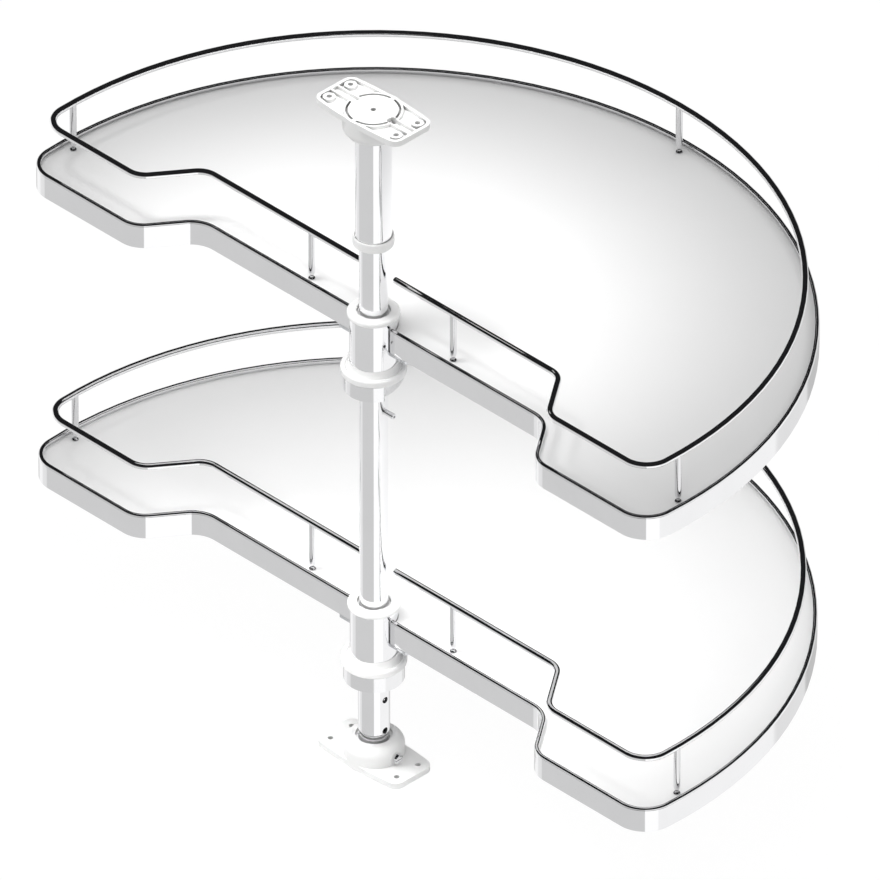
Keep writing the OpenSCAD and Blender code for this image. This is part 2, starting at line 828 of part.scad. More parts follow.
module lower_hub_sleeve() { color("silver") hub_sleeve(lower_rim_h); }
module lower_hub_flange() { hub_flange(lower_rim_h); }
module lower_hub_dish() { hub_dish(lower_rim_h); }
module lower_support_plate() { support_plate(lower_rim_h); }
module lower_panel_screws() { panel_screws(lower_rim_h); }
module lower_panel() { panel(lower_rim_h); }
module lower_rim_band() { rim_band(lower_rim_h); }
module lower_rail() { rail(lower_rim_h); }
module lower_post_left() { wing_post(lower_rim_h, -1); }
module lower_post_front_left() { front_post(lower_rim_h, -1); }
module lower_post_front_right() { front_post(lower_rim_h, 1); }
module lower_post_right() { wing_post(lower_rim_h, 1); }
module lower_post_rear() { post(lower_rim_h, 0, wing_post_x, 0); }
module upper_hub_flange() { hub_flange(upper_rim_h); }
module upper_hub_dish() { hub_dish(upper_rim_h); }
module upper_support_plate() { support_plate(upper_rim_h); }
module upper_panel_screws() { panel_screws(upper_rim_h); }
module upper_panel() { panel(upper_rim_h); }
module upper_rim_band() { rim_band(upper_rim_h); }
module upper_rail() { rail(upper_rim_h); }
module upper_post_left() { wing_post(upper_rim_h, -1); }
module upper_post_front_left() { front_post(upper_rim_h, -1); }
module upper_post_front_right() { front_post(upper_rim_h, 1); }
module upper_post_right() { wing_post(upper_rim_h, 1); }
module upper_post_rear() { post(upper_rim_h, 0, wing_post_x, 0); }

base_bracket();
base_reducer();
base_clamp_screw();
base_clamp_nut();
pole_foot();
joining_sleeve();
joining_set_screws();
inner_pole();
pole_top_guide();
pole_stop_screw();
lower_bearing_cup();
lower_cup_screw();
lower_thrust_washer();
lower_journal();
upper_bearing_cup();
upper_cup_screw();
upper_thrust_washer();
upper_journal();
outer_tube();
lock_ring();
lock_ring_screw();
top_bracket();
top_clamp_screw();
top_clamp_nut();
lower_hub_sleeve();
lower_hub_flange();
lower_hub_dish();
lower_support_plate();
lower_panel_screws();
lower_panel();
lower_rim_band();
lower_rail();
lower_post_left();
lower_post_front_left();
lower_post_front_right();
lower_post_right();
lower_post_rear();
upper_hub_sleeve();
upper_hub_flange();
upper_hub_dish();
upper_support_plate();
upper_panel_screws();
upper_panel();
upper_rim_band();
upper_rail();
upper_post_left();
upper_post_front_left();
upper_post_front_right();
upper_post_right();
upper_post_rear();
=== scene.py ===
"""Looks of the two-tier half-moon carousel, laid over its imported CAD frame.

Sizes of the carousel's pieces are in millimetres, measured from the floor face
with the pole along +Z and the front towards -Y. A finished piece is in metres.
"""
import logging
import math
from dataclasses import dataclass
from enum import Enum

import bmesh
import bpy
from mathutils import Matrix, Vector


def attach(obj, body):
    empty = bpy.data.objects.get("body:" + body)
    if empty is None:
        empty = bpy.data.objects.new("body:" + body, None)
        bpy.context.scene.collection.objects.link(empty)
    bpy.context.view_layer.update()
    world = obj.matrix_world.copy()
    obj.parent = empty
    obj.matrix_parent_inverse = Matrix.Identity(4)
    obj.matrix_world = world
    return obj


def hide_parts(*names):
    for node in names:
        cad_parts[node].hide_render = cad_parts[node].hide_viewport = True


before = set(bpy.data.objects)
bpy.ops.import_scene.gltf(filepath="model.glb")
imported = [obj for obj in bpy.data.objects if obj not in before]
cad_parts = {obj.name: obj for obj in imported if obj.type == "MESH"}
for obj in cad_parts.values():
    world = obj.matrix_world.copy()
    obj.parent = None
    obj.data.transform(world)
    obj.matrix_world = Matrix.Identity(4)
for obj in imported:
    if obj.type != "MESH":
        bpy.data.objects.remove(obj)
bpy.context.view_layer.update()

Edges = list[bmesh.types.BMEdge]
LOG = logging.getLogger("carousel")
MM = 0.001
QUARTER_TURN, HALF_TURN, FULL_TURN = 90.0, 180.0, 360.0

# Shader values: an even scale, white, and the middle between 0 and 1
EVEN = (1.0, 1.0, 1.0)
WHITE = (1.0, 1.0, 1.0, 1.0)
MIDDLE = 0.5

# Steps of turned and rounded shapes
CORNER_STEPS = 5
FINE_STEPS = 128
JOURNAL_STEPS = 96
POST_STEPS = 40
HOLE_SIDES = 48
FEWEST_STEPS = 4
STEP_ANGLE = 3.0

# Shortest stretches that stay, in millimetres
SHORTEST_STRAIGHT = 0.01
SHORTEST_GAP = 1e-4
SHORTEST_EDGE = 1e-5

# Copies of CAD nodes: weld in metres, and angles in degrees
CAD_WELD = 2e-6
CAD_FLAT = 1.0
CAD_EDGE = 40.0
CAD_EDGE_STEPS = 2

# Smooth shading: the angle that stays sharp, and the weight of large faces
SHARP_ANGLE = 32.0
FACE_WEIGHT = 100


class Body(Enum):
    """The moving groups of the fitting."""

    POLE = "pole"
    TOP = "top_post"
    CARRIER = "upper_carrier"
    LOWER = "lower_tray"
    UPPER = "upper_tray"


class Value:
    """A shader socket that takes part in arithmetic by adding Math nodes."""

    def __init__(self, graph: "Graph", socket: bpy.types.NodeSocket) -> None:
        """Wraps a socket of the graph."""
        self.graph, self.socket = graph, socket

    def math(self, operation: str, *terms: "Value | float") -> "Value":
        """One Math node.

        Args:
            operation: the node's operation.
            terms: its inputs in order.

        Returns:
            The node's result.
        """
        inputs = dict(enumerate(terms))
        return self.graph.node("ShaderNodeMath", {"operation": operation}, inputs, 0)

    def __add__(self, other: "Value | float") -> "Value":
        """Sum."""
        return self.math("ADD", self, other)

    def __radd__(self, other: float) -> "Value":
        """Sum with a number on the left."""
        return self.math("ADD", other, self)

    def __sub__(self, other: "Value | float") -> "Value":
        """Difference."""
        return self.math("SUBTRACT", self, other)

    def __rsub__(self, other: float) -> "Value":
        """Difference from a number."""
        return self.math("SUBTRACT", other, self)

    def __mul__(self, other: "Value | float") -> "Value":
        """Product."""
        return self.math("MULTIPLY", self, other)

    def __rmul__(self, other: float) -> "Value":
        """Product with a number on the left."""
        return self.math("MULTIPLY", other, self)

    def __truediv__(self, other: "Value | float") -> "Value":
        """Quotient."""
        return self.math("DIVIDE", self, other)

    def clamped(self) -> "Value":
        """The value held between 0 and 1."""
        return self.graph.node("ShaderNodeClamp", {}, {"Value": self, "Min": 0.0, "Max": 1.0}, 0)


class Graph:
    """The node tree of a material or of the world."""

    def __init__(self, owner: bpy.types.Material | bpy.types.World) -> None:
        """Empties the owner's tree and keeps its output node.

        Args:
            owner: the material or the world.
        """
        owner.use_nodes = True
        self.tree = owner.node_tree
        self.tree.nodes.clear()
        kind = "World" if isinstance(owner, bpy.types.World) else "Material"
        self.output = self.tree.nodes.new("ShaderNodeOutput" + kind)

    def node(self, kind: str, settings: dict, inputs: dict, out: int | str = 0) -> Value:
        """Adds a node.

        Args:
            kind: the node's type.
            settings: its properties, set first; "stops" are a ramp's stops.
            inputs: numbers, colours or Values for its sockets, by name or index.
            out: the socket that is returned.

        Returns:
            The chosen output.
        """
        made = self.tree.nodes.new(kind)
        for key, value in settings.items():
            if key == "stops":
                ramp = made.color_ramp
                ramp.elements[0].position, ramp.elements[1].position = 0.0, 1.0
                while len(ramp.elements) < len(value):
                    ramp.elements.new(0.5)
                for stop, (place, tone) in zip(ramp.elements, value):
                    stop.position, stop.color = place, (tone, tone, tone, 1.0)
            else:
                setattr(made, key, value)
        for key, value in inputs.items():
            if isinstance(value, Value):
                self.tree.links.new(value.socket, made.inputs[key])
            else:
                made.inputs[key].default_value = value
        return Value(self, made.outputs[out])

    def mix(self, factor: Value, first: Value | tuple, second: Value | tuple) -> Value:
        """A colour between two colours."""
        settings = {"data_type": "RGBA", "blend_type": "MIX"}
        return self.node("ShaderNodeMix", settings, {0: factor, 6: first, 7: second}, 2)

    def patched(self, cloud: Value, contrast: float, share: float, colour: tuple) -> Value:
        """A colour that is darker in soft patches.

        Args:
            cloud: the noise that places the patches.
            contrast: how sharply they end.
            share: the share of the colour that is left in them.
            colour: the clean colour.

        Returns:
            The patchy colour.
        """
        patch = tuple(share * part for part in colour)
        mask = ((cloud - MIDDLE) * contrast + MIDDLE).clamped()
        return self.mix(mask, (*patch, 1.0), (*colour, 1.0))

    def place(self, scale: tuple) -> Value:
        """Object coordinates of the piece, scaled."""
        where = self.node("ShaderNodeTexCoord", {}, {}, "Object")
        return self.node("ShaderNodeMapping", {}, {"Vector": where, "Scale": scale})

    def noise(self, where: Value, scale: float, detail: float) -> Value:
        """Fractal noise between about 0 and 1."""
        inputs = {"Vector": where, "Scale": scale, "Detail": detail, "Roughness": 0.55}
        return self.node("ShaderNodeTexNoise", {}, inputs, 0)

    def bump(self, height: Value, depth_mm: float) -> Value:
        """Normal for a relief of the given depth."""
        inputs = {"Strength": 1.0, "Distance": depth_mm * MM, "Height": height}
        return self.node("ShaderNodeBump", {}, inputs)

    def principled(self, **sockets: "Value | float | tuple") -> None:
        """The surface shader; a socket's spaces are written as underscores.

        Args:
            sockets: numbers, colours or Values by socket name.
        """
        inputs = {key.replace("_", " "): value for key, value in sockets.items()}
        shader = self.node("ShaderNodeBsdfPrincipled", {}, inputs, 0)
        self.tree.links.new(shader.socket, self.output.inputs["Surface"])


@dataclass(frozen=True)
class Finish:
    """A surface finish; one material is made for each name."""

    name: str
    colour: tuple
    rough: float

    def surface(self, graph: Graph) -> None:
        """Writes the shader into the graph.

        Args:
            graph: the material's node tree.
        """
        raise NotImplementedError

    def material(self) -> bpy.types.Material:
        """The finish's material, made at its first use.

        Returns:
            The material.
        """
        name = "finish_" + self.name
        found = bpy.data.materials.get(name)
        if found is None:
            found = bpy.data.materials.new(name)
            found.diffuse_color = (*self.colour, 1.0)
            self.surface(Graph(found))
        return found


@dataclass(frozen=True)
class Polished(Finish):
    """Plated or polished metal with faint drawing lines along one direction."""

    lines: tuple = (1.0, 1.0, 0.04)
    spread: float = 0.03
    relief: float = 0.002
    line_scale: float = 900.0
    cloud_scale: float = 26.0
    cloud_height: float = 0.4
    contrast: float = 1.6
    dulled: float = 0.955

    def surface(self, graph: Graph) -> None:
        """Fine lines and a soft cloudiness of the plating.

        Args:
            graph: the material's node tree.
        """
        fine = graph.noise(graph.place(self.lines), self.line_scale, detail=3.0)
        cloud = graph.noise(graph.place(EVEN), self.cloud_scale, detail=3.0)
        rough = (fine - MIDDLE) * self.spread + (cloud - MIDDLE) * self.spread + self.rough
        height = fine * (1.0 - self.cloud_height) + cloud * self.cloud_height
        graph.principled(
            Base_Color=graph.patched(cloud, self.contrast, self.dulled, self.colour), Metallic=1.0,
            Roughness=rough.clamped(), Normal=graph.bump(height, self.relief),
        )


@dataclass(frozen=True)
class Cast(Finish):
    """Die-cast or plated steel with a grainy, slightly blotched skin."""

    grain: float = 1400.0
    relief: float = 0.02
    flow_scale: float = 90.0
    flow_stretch: tuple = (1.0, 1.0, 2.4)
    flow_height: float = 0.3
    flow_rough: float = 0.16
    grain_rough: float = 0.08
    flow_contrast: float = 1.5
    grain_contrast: float = 0.5
    clean: float = 0.45
    blotched: float = 0.72

    def surface(self, graph: Graph) -> None:
        """Grain, flow marks and darker blotches.

        Args:
            graph: the material's node tree.
        """
        grain = graph.noise(graph.place(EVEN), self.grain, detail=3.0)
        flow = graph.noise(graph.place(self.flow_stretch), self.flow_scale, detail=4.0)
        mask = (flow - MIDDLE) * self.flow_contrast + (grain - MIDDLE) * self.grain_contrast + self.clean
        blotch = tuple(self.blotched * part for part in self.colour)
        tint = graph.mix(mask.clamped(), (*blotch, 1.0), (*self.colour, 1.0))
        rough = (flow - MIDDLE) * self.flow_rough + (grain - MIDDLE) * self.grain_rough + self.rough
        height = grain * (1.0 - self.flow_height) + flow * self.flow_height
        graph.principled(
            Base_Color=tint, Metallic=1.0, Roughness=rough.clamped(),
            Normal=graph.bump(height, self.relief),
        )


@dataclass(frozen=True)
class Moulded(Finish):
    """Injection-moulded plastic with a fine spark-eroded skin and painted shade in its hollows."""

    grain: float = 2200.0
    relief: float = 0.008
    specular: float = 0.45
    ior: float = 1.5
    flow_scale: float = 38.0
    flow_rough: float = 0.14
    grain_rough: float = 0.1
    contrast: float = 1.4
    mottled: float = 0.96
    # Painted shade: the colour darkens to this share where the piece closes in on itself, within this reach
    shaded_share: float = 0.22
    shade_reach: float = 7.0
    shade_full: float = 0.1
    shade_span: float = 0.4

    def surface(self, graph: Graph) -> None:
        """Eroded grain, flow mottling and painted shade in the hollows.

        Args:
            graph: the material's node tree.
        """
        grain = graph.noise(graph.place(EVEN), self.grain, detail=2.0)
        flow = graph.noise(graph.place(EVEN), self.flow_scale, detail=3.0)
        # Painted shade: an ambient-occlusion node darkens the colour in grooves, pockets and creases
        open_share = graph.node("ShaderNodeAmbientOcclusion", {"samples": 8, "only_local": True},
                                {"Distance": self.shade_reach * MM}, "AO")
        painted_shade = tuple(self.shaded_share * part for part in self.colour)
        clean = graph.patched(flow, self.contrast, self.mottled, self.colour)
        unshaded = ((open_share - self.shade_full) / self.shade_span).clamped()
        rough = (flow - MIDDLE) * self.flow_rough + (grain - MIDDLE) * self.grain_rough + self.rough
        graph.principled(
            Base_Color=graph.mix(unshaded, (*painted_shade, 1.0), clean), Roughness=rough.clamped(),
            IOR=self.ior, Specular_IOR_Level=self.specular, Normal=graph.bump(grain, self.relief),
        )


@dataclass(frozen=True)
class Board(Finish):
    """Melamine-faced board with a fine pearl emboss."""

    pearl: float = 700.0
    pearl_blend: float = 0.8
    pearl_middle: float = 0.25
    pearl_rough: float = 0.12
    relief: float = 0.02
    specular: float = 0.35
    ior: float = 1.5
    cloud_scale: float = 9.0
    cloud_rough: float = 0.1
    contrast: float = 1.6
    printed: float = 0.985

    def surface(self, graph: Graph) -> None:
        """Pearl emboss and a barely uneven gloss.

        Args:
            graph: the material's node tree.
        """
        where = graph.place(EVEN)
        pearl = graph.node("ShaderNodeTexVoronoi", {"feature": "SMOOTH_F1"},
                           {"Vector": where, "Scale": self.pearl, "Smoothness": self.pearl_blend},
                           "Distance")
        cloud = graph.noise(where, self.cloud_scale, detail=4.0)
        rough = (cloud - MIDDLE) * self.cloud_rough + (pearl - self.pearl_middle) * self.pearl_rough
        graph.principled(
            Base_Color=graph.patched(cloud, self.contrast, self.printed, self.colour),
            Roughness=(rough + self.rough).clamped(), IOR=self.ior, Specular_IOR_Level=self.specular,
            Normal=graph.bump(pearl, self.relief),
        )


WIRE_PLATING = {"spread": 0.03, "relief": 0.0015}
CHROME = Polished("chrome_tube", (0.93, 0.93, 0.94), 0.05)
WIRE = Polished("chrome_wire", (0.93, 0.93, 0.94), 0.06, lines=EVEN, **WIRE_PLATING)
BAND = Polished("rim_metal", (0.92, 0.92, 0.93), 0.055, lines=(0.03, 0.03, 1.0), **WIRE_PLATING)
# The posts are the tubes' chrome, painted darker (0.8 against 0.93) for the grey that they mirror
SLIM_SHADED = Polished("chrome_post", (0.8, 0.8, 0.81), 0.07, lines=(1.0, 1.0, 0.1), **WIRE_PLATING)
CUP = Polished("cup_metal", (0.9, 0.9, 0.91), 0.1, lines=(1.0, 1.0, 0.2), spread=0.05, relief=0.003)
MOULDED = Moulded("white_moulding", (0.86, 0.86, 0.855), 0.38)
# The hub's white pieces are the brackets' white moulding, painted lighter (0.95 against 0.86) for the light
# that falls on them, and glossier
GLOSSY_LIT = Moulded("white_collar", (0.95, 0.95, 0.945), 0.26, grain=1800.0, relief=0.004)
ACETAL = Moulded("natural_plastic", (0.82, 0.8, 0.74), 0.36)
BOARD = Board("white_board", (0.79, 0.79, 0.79), 0.42)
ZINC = Cast("zinc_steel", (0.78, 0.79, 0.81), 0.3, grain=2000.0, relief=0.006)
BLACK = Cast("black_screw", (0.03, 0.03, 0.032), 0.42, grain=2000.0, relief=0.006)


class Shape:
    """A bmesh in millimetres that becomes one piece."""

    def __init__(self) -> None:
        """Starts with nothing."""
        self.bm = bmesh.new()

    def wire(self, points: list[tuple], closed: bool = True) -> Edges:
        """A line through a few points, with its corners rounded.

        Args:
            points: (x, y, z, round) with round the length cut from each side of a corner.
            closed: whether the line returns to its start.

        Returns:
            The line's edges.
        """
        bm = self.bm
        before = set(bm.edges)
        verts = [bm.verts.new(p[:3]) for p in points]
        last = len(verts) if closed else len(verts) - 1
        for i in range(last):
            bm.edges.new((verts[i], verts[(i + 1) % len(verts)]))
        for size in sorted({p[3] for p in points if len(p) > 3 and p[3]}):
            corners = [v for v, p in zip(verts, points) if len(p) > 3 and p[3] == size]
            bmesh.ops.bevel(bm, geom=corners, affect="VERTICES", offset=size, offset_type="OFFSET",
                            segments=CORNER_STEPS, profile=0.5, material=-1)
        return [e for e in bm.edges if e not in before]

    def lathe(self, outline: list[tuple], steps: int) -> "Shape":
        """A turned ring or solid from a closed (radius, height, round) outline.

        Args:
            outline: its points.
            steps: sides of the full turn.

        Returns:
            The shape.
        """
        edges = self.wire([(p[0], 0.0, p[1], p[2] if len(p) > 2 else 0) for p in outline])
        verts = list(dict.fromkeys(v for e in edges for v in e.verts))
        bmesh.ops.spin(self.bm, geom=verts + edges, cent=(0, 0, 0), axis=(0, 0, 1), dvec=(0, 0, 0),
                       angle=math.tau, steps=steps, use_merge=True, use_duplicate=False)
        return self.closed()

    def closed(self) -> "Shape":
        """Merges doubles, drops flat faces and turns the normals outwards.

        Returns:
            The shape.
        """
        bm = self.bm
        bmesh.ops.remove_doubles(bm, verts=bm.verts, dist=SHORTEST_GAP)
        bmesh.ops.dissolve_degenerate(bm, edges=bm.edges, dist=SHORTEST_EDGE)
        bmesh.ops.recalc_face_normals(bm, faces=bm.faces)
        return self

    def rod(self, radius: float, start: float, end: float, height: float) -> "Shape":
        """A round bar along +X between two distances from the axis, at a height.

        Args:
            radius: the bar's radius.
            start: the nearer distance.
            end: the farther distance.
            height: its height.

        Returns:
            The shape.
        """
        turn = Matrix.Translation(((start + end) / 2, 0, height)) @ Matrix.Rotation(math.pi / 2, 4, "Y")
        bmesh.ops.create_cone(self.bm, cap_ends=True, segments=HOLE_SIDES, radius1=radius, radius2=radius,
                              depth=end - start, matrix=turn)
        return self

    def moved(self, matrix: Matrix) -> "Shape":
        """The whole shape carried by a matrix."""
        bmesh.ops.transform(self.bm, matrix=matrix, verts=self.bm.verts)
        return self

    def object(self, name: str) -> bpy.types.Object:
        """The shape as an object in metres.

        Args:
            name: the object's name.

        Returns:
            The object, linked to the scene.
        """
        bmesh.ops.scale(self.bm, vec=(MM, MM, MM), verts=self.bm.verts)
        mesh = bpy.data.meshes.new(name)
        self.bm.to_mesh(mesh)
        self.bm.free()
        piece = bpy.data.objects.new(name, mesh)
        bpy.context.scene.collection.objects.link(piece)
        return piece


def baked(piece: bpy.types.Object) -> bpy.types.Object:
    """Applies the piece's modifiers to its mesh.

    Args:
        piece: the object.

    Returns:
        The object.
    """
    bpy.context.view_layer.update()
    shown = piece.evaluated_get(bpy.context.evaluated_depsgraph_get())
    mesh = bpy.data.meshes.new_from_object(shown)
    piece.modifiers.clear()
    piece.data = mesh
    return piece


def smoothed(piece: bpy.types.Object) -> bpy.types.Object:
    """Shades a piece smooth, with its edges kept sharp.

    Args:
        piece: the object.

    Returns:
        The object.
    """
    mesh = piece.data
    mesh.polygons.foreach_set("use_smooth", [True] * len(mesh.polygons))
    mesh.set_sharp_from_angle(angle=math.radians(SHARP_ANGLE))
    even = piece.modifiers.new("even", "WEIGHTED_NORMAL")
    even.mode, even.weight, even.keep_sharp = "FACE_AREA", FACE_WEIGHT, True
    return baked(piece)


def cut(piece: bpy.types.Object, tool: bpy.types.Object) -> bpy.types.Object:
    """Takes the tool's volume out of the piece and deletes the tool.

    Args:
        piece: the object that is cut.
        tool: the object that cuts.

    Returns:
        The cut object.
    """
    work = piece.modifiers.new("cut", "BOOLEAN")
    work.operation, work.solver, work.object = "DIFFERENCE", "EXACT", tool
    baked(piece)
    bpy.data.objects.remove(tool)
    return piece


def dressed(piece: bpy.types.Object, body: Body, finish: Finish, slot: str, *nodes: str) -> bpy.types.Object:
    """Finishes a new piece and hangs it on its body.

    Args:
        piece: the object.
        body: the body it rides on.
        finish: its surface.
        slot: the record's material slot; not used.
        nodes: the CAD nodes that it stands for.

    Returns:
        The object.
    """
    smoothed(piece)
    piece.data.materials.clear()
    piece.data.materials.append(finish.material())
    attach(piece, body.value)
    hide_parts(*nodes)
    LOG.info("piece %s: %d faces, finish %s", piece.name, len(piece.data.polygons), finish.name)
    return piece


def finished(node: str, finish: Finish) -> None:
    """Gives a CAD node its finish.

    Args:
        node: the node's name.
        finish: its surface.
    """
    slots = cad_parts[node].data.materials
    slots.clear()
    slots.append(finish.material())
    LOG.info("CAD node %s: finish %s", node, finish.name)


def softened(node: str, name: str, width: float, body: Body, finish: Finish, slot: str) -> bpy.types.Object:
    """A copy of a CAD node with its edges rounded.

    Args:
        node: the CAD node.
        name: the piece's name.
        width: the rounding in millimetres.
        body: the body it rides on.
        finish: its surface.
        slot: the record's material slot.

    Returns:
        The piece.
    """
    bm = bmesh.new()
    bm.from_mesh(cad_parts[node].data)
    bmesh.ops.remove_doubles(bm, verts=bm.verts, dist=CAD_WELD)
    bmesh.ops.dissolve_limit(bm, angle_limit=math.radians(CAD_FLAT), verts=bm.verts, edges=bm.edges,
                             delimit=set())
    bmesh.ops.recalc_face_normals(bm, faces=bm.faces)
    mesh = bpy.data.meshes.new(name)
    bm.to_mesh(mesh)
    bm.free()
    piece = bpy.data.objects.new(name, mesh)
    bpy.context.scene.collection.objects.link(piece)
    bevel = piece.modifiers.new("edges", "BEVEL")
    bevel.limit_method, bevel.angle_limit = "ANGLE", math.radians(CAD_EDGE)
    bevel.width, bevel.segments, bevel.profile = width * MM, CAD_EDGE_STEPS, 0.5
    bevel.use_clamp_overlap = True
    baked(piece)
    return dressed(piece, body, finish, slot, node)


@dataclass(frozen=True)
class Bend:
    """One bend of an outline: its centre, its radius and two angles in degrees."""

    x: float
    y: float
    radius: float
    first: float
    last: float

    def point(self, angle: float) -> Vector:
        """The point of the bend at an angle in degrees."""
        turn = math.radians(angle)
        return Vector((self.x + self.radius * math.cos(turn), self.y + self.radius * math.sin(turn)))

    def mirrored(self) -> "Bend":
        """The same bend on the other side of the tray."""
        return Bend(-self.x, self.y, self.radius, HALF_TURN - self.last, HALF_TURN - self.first)


@dataclass(frozen=True)
class Outline:
    """The half-moon outline of a tray, drawn in by an inset."""

    tray_r: float = 380.0
    wing_front: float = 50.0
    recess_front: float = 2.0
    recess_corner_x: float = 208.0
    slope: float = 54.0

    def bends(self, inset: float, bend_r: float, tip_r: float) -> list[Bend]:
        """Bends in order from the front gap.

        Args:
            inset: distance inward from the band's face.
            bend_r: radius of the bends at the recess and at the wing.
            tip_r: radius of the wing tip.

        Returns:
            The bends, right side first.
        """
        front = QUARTER_TURN
        half = math.tan(math.radians(self.slope / 2))
        recess_y, wing_y = inset - self.recess_front, inset - self.wing_front
        upper_x = self.recess_corner_x + inset * half
        lower_x = upper_x + (recess_y - wing_y) / math.tan(math.radians(self.slope))
        tip_y = wing_y + tip_r
        tip_x = math.sqrt((self.tray_r - inset - tip_r) ** 2 - tip_y ** 2)
        tip_a = math.degrees(math.atan2(tip_y, tip_x))
        side = [
            Bend(upper_x - bend_r * half, recess_y - bend_r, bend_r, front, front - self.slope),
            Bend(lower_x + bend_r * half, wing_y + bend_r, bend_r, -front - self.slope, -front),
            Bend(tip_x, tip_y, tip_r, -front, tip_a),
        ]
        rear = Bend(0.0, 0.0, self.tray_r - inset, tip_a, HALF_TURN - tip_a)
        return [*side, rear, *(bend.mirrored() for bend in reversed(side))]


def straight(bm: bmesh.types.BMesh, edges: Edges, step: Vector) -> Edges:
    """Draws a section along a straight.

    Args:
        bm: the mesh.
        edges: the section's edges.
        step: the way in the plane of the tray; a very short one is left out.

    Returns:
        The section's edges at the far end.
    """
    if step.length <= SHORTEST_STRAIGHT:
        return edges
    grown = bmesh.ops.extrude_edge_only(bm, edges=edges)["geom"]
    verts = [g for g in grown if isinstance(g, bmesh.types.BMVert)]
    bmesh.ops.translate(bm, vec=(step.x, step.y, 0), verts=verts)
    return [g for g in grown if isinstance(g, bmesh.types.BMEdge)]


def bent(bm: bmesh.types.BMesh, edges: Edges, bend: Bend) -> Edges:
    """Draws a section round a bend.

    Args:
        bm: the mesh.
        edges: the section's edges.
        bend: the bend.

    Returns:
        The section's edges at the far end.
    """
    angle = bend.last - bend.first
    verts = list(dict.fromkeys(v for e in edges for v in e.verts))
    spun = bmesh.ops.spin(bm, geom=verts + edges, cent=(bend.x, bend.y, 0), axis=(0, 0, 1),
                          dvec=(0, 0, 0), angle=math.radians(angle), use_duplicate=False,
                          steps=max(FEWEST_STEPS, round(abs(angle) / STEP_ANGLE)))
    return [g for g in spun["geom_last"] if isinstance(g, bmesh.types.BMEdge)]


def swept(section: list[tuple], bends: list[Bend], start_x: float) -> Shape:
    """Draws a section along an outline, straight by straight and bend by bend.

    Args:
        section: (y, z, round) points of the section at the front gap's right end.
        bends: the outline's bends.
        start_x: sideways distance from the axis to both ends.

    Returns:
        The swept solid with both ends closed.
    """
    shape = Shape()
    bm = shape.bm
    edges = shape.wire([(start_x, y, z, size) for y, z, size in section])
    bmesh.ops.contextual_create(bm, geom=edges)
    at = Vector((start_x, bends[0].point(bends[0].first).y))
    for bend in bends:
        edges = straight(bm, edges, bend.point(bend.first) - at)
        edges = bent(bm, edges, bend)
        at = bend.point(bend.last)
    edges = straight(bm, edges, Vector((-start_x, at.y)) - at)
    bmesh.ops.contextual_create(bm, geom=edges)
    return shape.closed()


@dataclass(frozen=True)
class RimBand:
    """The section of the rim strip, with the bead along its top."""

    height: float = 24.0
    wall: float = 2.0
    bead_r: float = 2.0
    bead_step: float = 0.2
    bead_round: float = 1.9
    neck: float = 0.4
    neck_flat: float = 0.5
    crease: float = 0.2
    hem: float = 0.3
    flat: float = 0.6
    end_x: float = 22.0
    bend_r: float = 27.0
    tip_r: float = 30.0

    def section(self, face: float, top: float) -> list[tuple]:
        """The strip's (y, z, round) points.

        Args:
            face: the place of its outer face.
            top: the height of its top.

        Returns:
            The closed section.
        """
        r, bead = self.bead_r, face + self.bead_r + self.bead_step
        low, inner = top - self.height, face + self.wall
        neck, under = top - r - self.neck, top - 2 * r
        return [
            (face, low, self.hem), (face, low + self.flat, 0), (face, neck - self.neck_flat, 0),
            (face, neck, self.crease), (bead - r, top - r, 0), (bead - r, top, self.bead_round),
            (bead + r, top, self.bead_round), (bead + r, under, self.bead_round),
            (inner, under, self.crease), (inner, under - self.flat, 0), (inner, low + self.flat, 0),
            (inner, low, self.hem),
        ]


@dataclass(frozen=True)
class GalleryRail:
    """The round wire above the rim."""

    r: float = 3.0
    up: float = 42.5
    inset: float = 12.5
    end_x: float = 15.5
    bend_r: float = 20.0
    tip_r: float = 24.0
    sides: int = 8
    corner_share: float = 0.999

    def section(self, y: float, z: float) -> list[tuple]:
        """The wire's (y, z, round) points round its middle.

        Args:
            y: the place of its middle.
            z: the height of its middle.

        Returns:
            The closed section.
        """
        half = math.pi / self.sides
        corner = self.r * math.tan(half) * self.corner_share
        reach = self.r / math.cos(half)
        turns = [half * (2 * i + 1) for i in range(self.sides)]
        return [(y + reach * math.cos(a), z + reach * math.sin(a), corner) for a in turns]


@dataclass(frozen=True)
class RailPost:
    """A drop-shaped post, with heights above the panel."""

    pin_r: float = 1.5
    pin_l: float = 10.0
    foot_r: float = 3.3
    foot_h: float = 1.5
    foot_round: float = 1.2
    neck_low: float = 2.1
    neck_low_round: float = 0.3
    neck_high: float = 3.2
    neck_high_round: float = 0.6
    drop_r: float = 2.9
    drop_h: float = 6.6
    body_r: float = 3.0
    body_h: float = 10.5
    body_round: float = 1.6
    front_x: float = 86.0

    def outline(self, foot: float, top: float) -> list[tuple]:
        """The post's (radius, height, round) points from the pin to the rail's middle.

        Args:
            foot: the height of the panel.
            top: the height of the rail's middle.

        Returns:
            The closed outline.
        """
        return [
            (0.0, foot - self.pin_l), (self.pin_r, foot - self.pin_l), (self.pin_r, foot),
            (self.foot_r, foot), (self.foot_r, foot + self.foot_h, self.foot_round),
            (self.pin_r, foot + self.neck_low, self.neck_low_round),
            (self.pin_r, foot + self.neck_high, self.neck_high_round),
            (self.drop_r, foot + self.drop_h, self.body_round),
            (self.body_r, foot + self.body_h, self.body_round), (self.body_r, top), (0.0, top),
        ]


